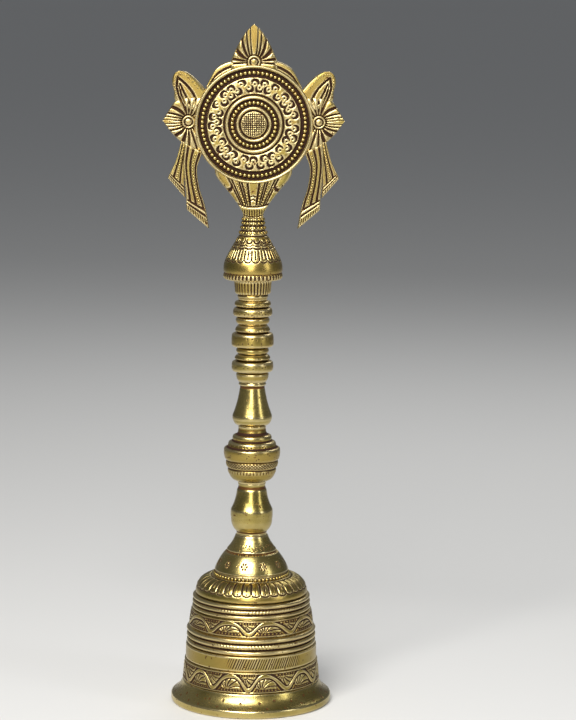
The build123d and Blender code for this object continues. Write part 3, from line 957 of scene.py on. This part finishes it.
def cap_relief(around, height, radius):
    up = height - cap_low
    phase = (around / (2 * math.pi) * tongue_count + 0.15) % 1
    width = 2 * math.pi * np.maximum(radius, 1) / tongue_count
    side = np.abs(phase - 0.5) * width
    tongue_end = 8.7 + 0.45 * width * (1 - arch(phase))
    between = ridge(0.5 * width - side, 0.36)
    between = between * rise(up, tongue_end, tongue_end + 0.4) * (1 - rise(up, 13.7, 14.0))
    rounded = ridge(up - tongue_end, 0.28)
    slit = ridge(side, 0.28) * rise(up, 9.9, 10.4) * (1 - rise(up, 13.5, 13.9))
    hang = arch(repeat(around, 15))
    scallops = ridge(up - 15.5 + 0.9 * hang, 0.34) * rise(hang, 0.25, 0.6)
    second = ridge(up - 16.7 + 0.9 * hang, 0.22)
    disc_turn = repeat(around, disc_count) - 0.5
    disc_x, disc_y = disc_turn * 2 * math.pi * radius / disc_count, up - 18.1
    discs = ridge(np.hypot(disc_x, disc_y) - 1.25, 0.36) * rise(-disc_y, -0.9, 0.2)
    notch = ridge(repeat(around, 44) - 0.5, 0.3) * rise(up, 0.5, 0.9) * (1 - rise(up, 2.4, 3.0))
    steps = sum(ridge(up - level, 0.34) for level in (19.9, 22.2, 24.3, 26.2))
    cuts = np.maximum.reduce(
        [0.6 * between, 0.3 * rounded, 0.5 * slit, 0.6 * scallops, 0.25 * second, 0.55 * discs, 0.5 * steps]
    )
    return rise(radius, 3.6, 4.0) * rise(up, 0.2, 0.5) * -np.maximum(cuts * rise(up, 8.3, 8.6), 0.4 * notch)


plain_turned(
    "cap_body",
    "finial_cap",
    [
        (8.3, 0),
        (12.2, 0.15),
        (12.9, 0.7),
        (13.25, 1.6),
        (13.1, 2.7),
        (12.8, 3.1),
        (13.0, 3.5),
        *bow((13.15, 4.2), (12.3, 9.0), 0.3),
        *bow((12.1, 9.6), (6.6, 19.4), 0.15),
        *bow((6.4, 20.0), (4.7, 26.6), -0.25),
        (4.6, 27.5),
    ],
    480,
    cast_brass,
    cap_relief,
    0.22,
)
cap_bead_places = []
for level, ring_radius, count in ((21.1, 5.85, 20), (23.25, 5.2, 18), (25.3, 4.8, 17), (27.0, 4.6, 16)):
    cap_bead_places += round_places(ring_radius, cap_low + level, count, 0.11 * level)
cap_beads = bead_row("cap_neck_beads", cap_bead_places, 0.8, 0.85, lambda place: (place[0], place[1], 1.5))
finish_piece(cap_beads, beaded_brass, "finial_cap")

# ======================================================================== chakra wheel
# The finial's wheel, cast flat and alike on both faces: a smooth rim, a bead row in a dark
# channel, a broad ring of small crescents, two smooth rings with beads between them, and a hub
# cross-cut with a graver.

wheel_height = cap_high + 41.5
crescent_count = 46


def wheel_outline():
    """One face of the wheel from its hub to its rim: (radius from the hub, height of the face
    above the middle of the wheel) points."""
    front = [
        (0.0, 3.3),
        (4.6, 3.15),
        (5.7, 2.7),
        (5.95, 1.9),
        (6.3, 1.9),
        (6.6, 2.9),
        (7.2, 3.3),
        (7.8, 2.9),
        (8.1, 1.9),
        (11.0, 1.9),
        (11.3, 3.0),
        (11.9, 3.4),
        (12.6, 3.0),
        (12.9, 1.9),
        (13.2, 2.0),
        (13.6, 2.75),
        (15.0, 3.0),
        (19.0, 3.0),
        (20.5, 2.8),
        (20.95, 2.0),
        (21.3, 1.7),
        (24.3, 1.7),
        (24.7, 2.9),
        (25.5, 3.5),
        (26.15, 2.9),
        (26.3, 2.2),
    ]
    return fine(front, 0.27, 1)


def wheel_relief(around, rho):
    """Lift of the wheel's face at angle around and distance rho from the hub."""
    x, y = rho * np.sin(around), rho * np.cos(around)
    cell = 0.95
    lines = np.maximum(ridge((x / cell) % 1 - 0.5, 0.24), ridge((y / cell) % 1 - 0.5, 0.24))
    hub = -0.34 * lines * (1 - rise(rho, 4.9, 5.5))
    scroll = np.zeros_like(rho)
    for k in range(crescent_count):
        row = k % 2
        centre_angle = 2 * math.pi * (k + 0.25 * math.sin(7.3 * k)) / crescent_count
        centre_rho = (15.7, 18.7)[row] + 0.25 * math.sin(5.1 * k)
        u = x - centre_rho * math.sin(centre_angle)
        v = y - centre_rho * math.cos(centre_angle)
        near = (np.abs(u) < 2.6) & (np.abs(v) < 2.6)
        u, v = u[near], v[near]
        opening = centre_angle + (math.pi if row else 0) + 0.7 * math.sin(3.7 * k)
        u_open, v_open = u - 0.8 * math.sin(opening), v - 0.8 * math.cos(opening)
        crescent = rise(1.85 - np.hypot(u, v), 0, 0.3) * rise(np.hypot(u_open, v_open) - 1.2, 0, 0.3)
        dot = ridge(np.hypot(u_open, v_open), 0.38)
        scroll[near] = np.maximum(scroll[near], np.maximum(crescent, dot))
    band = rise(rho, 13.9, 14.3) * (1 - rise(rho, 20.0, 20.4))
    return hub - 0.8 * scroll * band


front_line = wheel_outline()
wheel = turned("wheel_disc", [*front_line, *[(r, -t) for r, t in reversed(front_line)]], 384)
mesh = wheel.data
places = read_vectors(mesh, "co") / MM
rho = np.hypot(places[:, 0], places[:, 1])
around = np.arctan2(places[:, 0], -places[:, 1])
faces_up = np.sign(places[:, 2])
wheel_cut = wheel_relief(around, rho)
channels = 0.13 * (np.abs(places[:, 2]) < 2.3) * (rho < 25)
places[:, 2] += faces_up * (wheel_cut + 0.03 * hand_wobble(*places.T))
mesh.vertices.foreach_set("co", (places * MM).ravel())
mesh.transform(Matrix.Translation((0, 0, wheel_height * MM)) @ Matrix.Rotation(math.pi / 2, 4, "X"))
mesh.update()
mark_hollows(wheel, 14, wheel_cut - channels)
finish_piece(wheel, dark_brass, "chakra_plate")


def both_faces(places):
    return [*places, *[(x, -y, z) for x, y, z in places]]


def wheel_row(radius, depth, count):
    return [(x, -depth, wheel_height - y) for x, y, _ in round_places(radius, 0, count)]


wheel_beads = bead_row(
    "wheel_beads",
    both_faces([*wheel_row(22.75, 1.95, 74), *wheel_row(9.6, 2.1, 33)]),
    0.98,
    axis=lambda place: (0, place[1], 0),
)
finish_piece(wheel_beads, beaded_brass, "chakra_plate")

# ======================================================================== flames and petals
# Round the wheel, in the same casting: a flame on top and one at each side, each a lotus bud
# of rounded petals rising from a small boss, and above the side flames a petal with a beaded
# border. All are crowned, so that their edges are thinner than their middles.


def through(points, count):
    """count + 1 points on a smooth curve through the given ones, evenly spaced by span."""
    padded = [
        tuple(2 * a - b for a, b in zip(points[0], points[1])),
        *points,
        tuple(2 * a - b for a, b in zip(points[-1], points[-2])),
    ]
    spans = len(points) - 1
    made = []
    for k in range(count + 1):
        span, share = divmod(k / count * spans, 1)
        if span == spans:
            span, share = spans - 1, 1.0
        a, b, c, d = (np.array(point) for point in padded[int(span) : int(span) + 4])
        bend, twist = 2 * a - 5 * b + 4 * c - d, 3 * b - a - 3 * c + d
        made.append(0.5 * (2 * b + (c - a) * share + bend * share**2 + twist * share**3))
    return np.array(made)


rim_inside = 25.2  # nearer the hub than this a leaf stays thin, below the faces of the rim


def cast_leaf(name, left, right, relief, rows=90, columns=70, mirrored=False):
    """A leaf of the casting between a left and a right edge, each a curve through (across, up)
    points measured from the wheel's hub. relief(along, over, x, z) is half its thickness, where
    along runs from root to tip and over from the left edge to the right, both 0 to 1."""
    left_line, right_line = through(left, rows), through(right, rows)
    shape = bmesh.new()
    bmesh.ops.create_grid(shape, x_segments=columns, y_segments=rows, size=1)
    grid = np.array([vert.co for vert in shape.verts])
    over, along = (grid[:, 0] + 1) / 2, (grid[:, 1] + 1) / 2
    row = np.clip(np.round(along * rows).astype(int), 0, rows)
    spot = left_line[row] * (1 - over)[:, None] + right_line[row] * over[:, None]
    half = relief(along, over, spot[:, 0], spot[:, 1])
    half = np.where(np.hypot(*spot.T) < rim_inside, 1.2, half)
    side = -1 if mirrored else 1
    for vert, (x, z), y in zip(shape.verts, spot, half):
        vert.co = (side * x * MM, -y * MM, (wheel_height + z) * MM)
    copy = bmesh.ops.extrude_face_region(shape, geom=shape.faces[:], use_keep_orig=True)
    for item in copy["geom"]:
        if isinstance(item, bmesh.types.BMVert):
            item.co.y = -item.co.y
    bmesh.ops.remove_doubles(shape, verts=shape.verts, dist=1e-6)
    bmesh.ops.dissolve_degenerate(shape, edges=shape.edges, dist=1e-7)
    bmesh.ops.recalc_face_normals(shape, faces=shape.faces)
    piece = as_piece(name, shape)
    mark_hollows(piece, 10)
    finish_piece(piece, dark_brass, "chakra_plate")


def rounded_edge(over, share=0.12):
    """How a leaf thins at its two long edges: 0 at the edge, 1 inside it."""
    near = np.minimum(over, 1 - over) / share
    return np.sqrt(np.clip(1 - (1 - np.clip(near, 0, 1)) ** 2, 0, 1))


def lotus_relief(centre, upward, cuts):
    """Half thickness of a lotus bud whose petals spread from a boss and bend towards the tip.
    cuts are the angles of the grooves between petals at the boss, in degrees from the bud's axis."""

    def relief(along, over, x, z):
        u, v = x - centre[0], z - centre[1]
        forward, aside = (v, np.abs(u)) if upward else (u, np.abs(v))
        reach = np.hypot(forward, aside)
        angle = np.degrees(np.arctan2(aside * (1 + 0.24 * np.clip(forward, 0, None)), forward))
        groove = np.zeros_like(x)
        petal = np.ones_like(x)
        for cut in cuts:
            gap = np.abs(angle - cut) * np.radians(1) * np.maximum(reach, 0.5)
            groove = np.maximum(groove, ridge(gap, 0.46))
            petal = np.minimum(petal, np.clip(gap / 1.1, 0, 1))
        swell = rise(reach, 2.9, 3.3) * (0.4 * np.sqrt(petal) - 0.75 * groove)
        dome = 0.5 * np.sqrt(np.clip(1 - (reach / 1.6) ** 2, 0, 1)) + 0.35 * ridge(reach - 2.4, 0.6)
        rings = 0.5 * ridge(reach - 1.75, 0.32) + 0.55 * ridge(reach - 3.1, 0.36)
        return 1.3 + 1.2 * rounded_edge(over) * (1 - 0.2 * along) + swell + dome - rings

    return relief


cast_leaf(
    "top_flame",
    [(-10.4, 23.0), (-10.2, 27.4), (-8.4, 32.2), (-5.9, 37.0), (-3.2, 41.0), (-0.05, 43.9)],
    [(10.4, 23.0), (10.2, 27.4), (8.4, 32.2), (5.9, 37.0), (3.2, 41.0), (0.05, 43.9)],
    lotus_relief((0, 27.4), True, (28, 47, 61, 73, 84, 95)),
    110,
    100,
)
for side, mirrored in (("left", True), ("right", False)):
    cast_leaf(
        "side_flame_" + side,
        [(23.0, 12.0), (29.0, 11.8), (34.3, 10.3), (37.2, 6.4), (40.1, 1.6)],
        [(23.0, -12.0), (29.5, -9.6), (34.0, -6.2), (37.3, -2.6), (40.1, 1.5)],
        lotus_relief((28.8, 1.0), False, (16, 38, 54, 68, 80, 92, 108, 126, 146)),
        90,
        90,
        mirrored,
    )


def rim_leaf_relief(along, over, x, z):
    return 1.2 + 0.7 * rounded_edge(over, 0.3) - 0.6 * ridge(over - 0.55, 0.16)


def from_hub(rho, degrees):
    return rho * math.sin(math.radians(degrees)), rho * math.cos(math.radians(degrees))


for side, mirrored in (("left", True), ("right", False)):
    cast_leaf(
        "rim_leaf_" + side,
        [from_hub(29.4, 19), from_hub(29.7, 27), from_hub(29.3, 36), from_hub(26.8, 52)],
        [from_hub(25.4, 19), from_hub(25.4, 30), from_hub(25.4, 41), from_hub(25.4, 52)],
        rim_leaf_relief,
        60,
        24,
        mirrored,
    )


def stroke(x, z, points, half_width):
    """A cut line through (across, up) points: 1 along it, 0 from half_width off it."""
    nearest = np.full_like(x, 9.0)
    for (x0, z0), (x1, z1) in zip(points, points[1:]):
        run_x, run_z = x1 - x0, z1 - z0
        share = np.clip(((x - x0) * run_x + (z - z0) * run_z) / (run_x**2 + run_z**2), 0, 1)
        nearest = np.minimum(nearest, np.hypot(x - x0 - share * run_x, z - z0 - share * run_z))
    return ridge(nearest, half_width)


petal_channels = (
    (through([(33.4, 20.4), (30.2, 17.8), (27.2, 14.2), (25.0, 9.5)], 12), 0.6),
    (through([(33.6, 20.2), (33.9, 16.6), (33.1, 12.8), (31.0, 8.4)], 12), 0.55),
    ([(32.5, 17.6), (30.6, 13.6), (28.2, 9.0)], 0.5),
    ([(33.0, 16.6), (31.9, 12.8), (30.0, 8.6)], 0.45),
)


def petal_relief(along, over, x, z):
    cuts = np.maximum.reduce([stroke(x, z, line, width) for line, width in petal_channels])
    return 1.4 + 1.0 * rounded_edge(over, 0.14) - 0.95 * cuts


petal_rim = through(
    [(24.6, 15.9), (27.4, 19.2), (30.2, 21.4), (33.0, 22.0), (34.7, 20.6), (35.1, 17.6), (34.3, 13.4)], 15
)
for side, mirrored in (("left", True), ("right", False)):
    cast_leaf(
        "upper_petal_" + side,
        [(19.5, 12.5), (22.8, 16.9), (26.6, 20.7), (30.0, 22.9), (33.0, 23.35)],
        [(27.5, 6.0), (34.3, 9.9), (35.2, 14.5), (36.1, 18.4), (35.4, 21.6), (33.4, 23.25)],
        petal_relief,
        80,
        64,
        mirrored,
    )
petal_beads = bead_row(
    "petal_beads",
    both_faces([(side * x, -2.15, wheel_height + z) for x, z in petal_rim for side in (-1, 1)]),
    0.5,
    axis=lambda place: (0, place[1], 0),
)
finish_piece(petal_beads, beaded_brass, "chakra_plate")

# ======================================================================== ribbons
# A folded sash hangs at each side of the wheel: an outer length, and in front of it a longer
# inner one. Cast grooves and a beaded stripe run down each, and its end is banded and hatched.


def ribbon_relief(base, lines, bands):
    def relief(along, over, x, z):
        tail = rise(along, bands[0] - 0.02, bands[0])
        grooves = sum(ridge(over - line, 0.075) for line in lines) * (1 - tail)
        cross = sum(ridge(along - band, 0.022) for band in bands)
        hatch = ridge((over * 9 + 0.4 * along) % 1 - 0.5, 0.2)
        hatch = hatch * rise(along, bands[-1] + 0.02, bands[-1] + 0.04)
        return base + 0.55 * rounded_edge(over, 0.1) - 0.7 * grooves - 0.6 * cross - 0.25 * hatch

    return relief


outer_line = (
    [(29.0, -8.0), (30.2, -17.0), (30.6, -25.0), (30.2, -32.6)],
    [(32.0, -7.6), (34.3, -15.8), (36.4, -20.4), (37.9, -23.7)],
)
inner_line = (
    [(22.6, -12.4), (24.9, -19.5), (24.0, -28.0), (21.4, -36.4), (19.6, -46.2)],
    [(30.4, -8.6), (31.0, -17.0), (30.4, -25.0), (29.8, -32.0), (29.6, -37.6)],
)
outer_relief = ribbon_relief(1.35, (0.30, 0.72), (0.80, 0.88))
inner_relief = ribbon_relief(1.95, (0.12, 0.50, 0.80), (0.80, 0.87))
ribbon_beads = []
for (left, right), over, depth, count, last in (
    (outer_line, 0.52, 1.75, 13, 0.74),
    (inner_line, 0.31, 2.4, 19, 0.75),
):
    left_curve, right_curve = through(left, 200), through(right, 200)
    for k in range(count):
        row = int(200 * (0.08 + (last - 0.08) * k / (count - 1)))
        spot = left_curve[row] * (1 - over) + right_curve[row] * over
        for side in (-1, 1):
            ribbon_beads.append((side * spot[0], -depth, wheel_height + spot[1]))
for side, mirrored in (("left", True), ("right", False)):
    cast_leaf("outer_ribbon_" + side, *outer_line, outer_relief, 100, 44, mirrored)
    cast_leaf("inner_ribbon_" + side, *inner_line, inner_relief, 130, 56, mirrored)
sash_beads = bead_row("ribbon_beads", both_faces(ribbon_beads), 0.62, axis=lambda place: (0, place[1], 0))
finish_piece(sash_beads, beaded_brass, "chakra_plate")

# ======================================================================== bracket
# Under the wheel the casting gathers into a bracket: a fan of beaded ribs about a plain
# centre, a curled leaf in each top corner, and a hatched crescent where it meets the cap.


fan_drop = 46.0  # how far below the hub the point lies from which the ribs spread


def bracket_relief(along, over, x, z):
    out = np.abs(x)
    reach = np.hypot(x, z + fan_drop)
    angle = np.degrees(np.arctan2(out, z + fan_drop))
    fan = rise(z, -36.4, -35.6)
    grooves = np.maximum.reduce(
        [ridge((angle - cut) * np.radians(1) * reach, 0.45) for cut in (7.5, 14.5, 17.0, 24.0, 26.5)]
    )
    curl_out = np.hypot(out - 11.2, z + 26.8)
    curl = rise(2.3 - np.hypot(out - 10.9, z + 27.6), 0, 0.4) * rise(curl_out - 1.35, 0, 0.3)
    chevrons = sum(ridge(z - level + 0.42 * out, 0.32) for level in (-31.6, -33.2)) * (angle < 6.2)
    crescent = ridge(z + 36.5 - 0.03 * x**2, 0.42) + ridge(z + 40.9 - 0.05 * x**2, 0.3)
    hatch = ridge((x / 1.1) % 1 - 0.5, 0.24) * (1 - rise(z, -38.2, -37.4))
    crescent = 0.9 * np.clip(crescent, 0, 1)
    cuts = np.maximum.reduce([grooves * fan, curl, 0.7 * chevrons, crescent, 0.35 * hatch])
    return 1.6 + 1.15 * rounded_edge(over, 0.08) - 0.95 * cuts


cast_leaf(
    "bracket",
    [(-4.5, -41.4), (-5.0, -38.6), (-9.0, -32.4), (-12.8, -27.8), (-16.6, -22.6), (-17.2, -18.0)],
    [(4.5, -41.4), (5.0, -38.6), (9.0, -32.4), (12.8, -27.8), (16.6, -22.6), (17.2, -18.0)],
    bracket_relief,
    100,
    130,
)
rib_beads = []
for angle in (11.0, 20.0):
    for k in range(9):
        reach = 11.5 + 1.25 * k
        for side in (-1, 1):
            x = side * reach * math.sin(math.radians(angle))
            z = reach * math.cos(math.radians(angle)) - fan_drop
            if math.hypot(x, z) > 26.8:
                rib_beads.append((x, -2.75, wheel_height + z))
fan_beads = bead_row("bracket_beads", both_faces(rib_beads), 0.6, axis=lambda place: (0, place[1], 0))
finish_piece(fan_beads, beaded_brass, "chakra_plate")

# ======================================================================== inside the bell
# Out of sight until the bell is lifted: the steel rod, washer and nut that draw the handle
# down on the crown, the swivel loop, and the forged clapper with its turned ball.


def plain_metal(name, colour, stained, gloss):
    """Bare worked metal: fine scratches from the file, and grime in soft clouds."""
    material, tree, shader, place = new_metal(name)
    shader.inputs["Metallic"].default_value = 1.0
    grime = spread(tree, noise(tree, place, 260, 4), 0.42, 0.68)
    tree.links.new(blended(tree, grime, colour, stained), shader.inputs["Base Color"])
    scratch = noise(tree, place, 1800, 2)
    tree.links.new(spread(tree, scratch, 0.3, 0.7, gloss - 0.06, gloss + 0.12), shader.inputs["Roughness"])
    relief = add(tree, "ShaderNodeBump", Strength=0.6, Distance=0.00004)
    tree.links.new(scratch, relief.inputs["Height"])
    tree.links.new(relief.outputs["Normal"], shader.inputs["Normal"])
    return material


steel = plain_metal("machined_steel", (0.42, 0.41, 0.39), (0.20, 0.17, 0.14), 0.34)
dull_brass = plain_metal("dull_brass", (0.62, 0.44, 0.17), (0.25, 0.15, 0.06), 0.36)
for node in ("tie_rod", "crown_washer", "hanger_nut"):
    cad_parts[node].data.materials.clear()
    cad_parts[node].data.materials.append(steel)
for node in ("swivel_loop", "clapper_rod", "clapper_ball"):
    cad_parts[node].data.materials.clear()
    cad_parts[node].data.materials.append(dull_brass)

# ======================================================================== floor, lights, camera
# A plain pale floor, one large soft light high at the front left, a weaker one a little above
# the camera, a fill from the right and a strip behind. The camera looks a little downwards.

floor_shape = bmesh.new()
bmesh.ops.create_grid(floor_shape, x_segments=1, y_segments=1, size=30)
floor_mesh = bpy.data.meshes.new("floor")
floor_shape.to_mesh(floor_mesh)
floor_shape.free()
floor = placed("floor", floor_mesh)
floor_paint = bpy.data.materials.new("pale_floor")
floor_paint.use_nodes = True
floor_shader = floor_paint.node_tree.nodes["Principled BSDF"]
floor_shader.inputs["Base Color"].default_value = (0.66, 0.66, 0.65, 1)
floor_shader.inputs["Roughness"].default_value = 0.7
floor_mesh.materials.append(floor_paint)


def soft_light(name, place, aim, width, height, power, colour=(1, 1, 1)):
    lamp = bpy.data.lights.new(name, "AREA")
    lamp.shape = "RECTANGLE"
    lamp.size, lamp.size_y = width, height
    lamp.energy = power
    lamp.color = colour
    thing = placed(name, lamp)
    thing.location = place
    thing.rotation_euler = (Vector(aim) - Vector(place)).to_track_quat("-Z", "Y").to_euler()


middle = (0, 0, 0.15)
soft_light("key", (-0.30, -0.95, 1.05), middle, 0.9, 0.6, 28, (1.0, 0.98, 0.95))
soft_light("front", (-0.20, -1.60, 0.50), middle, 0.5, 0.5, 7, (1.0, 0.98, 0.95))
soft_light("fill", (1.0, -0.6, 0.5), middle, 0.25, 0.7, 2.5, (0.95, 0.97, 1.0))
soft_light("back", (0.3, 0.9, 0.9), middle, 0.7, 0.3, 3)

world = bpy.data.worlds.new("studio")
bpy.context.scene.world = world
world.use_nodes = True
sky = world.node_tree.nodes["Background"]
sky.inputs["Color"].default_value = (0.55, 0.57, 0.60, 1)
sky.inputs["Strength"].default_value = 0.3

view = bpy.data.cameras.new("camera")
view.sensor_width = 36
view.sensor_fit = "AUTO"
view.lens = 135.6
view.shift_x = 35.5 / 720
camera = placed("camera", view)
camera.location = (0, -1.2, 0.335)
tilt = Matrix.Rotation(math.radians(90 - 8.5), 3, "X") @ Matrix.Rotation(math.radians(0.3), 3, "Z")
camera.rotation_euler = tilt.to_euler()
bpy.context.scene.camera = camera
bpy.context.scene.view_settings.view_transform = "Standard"
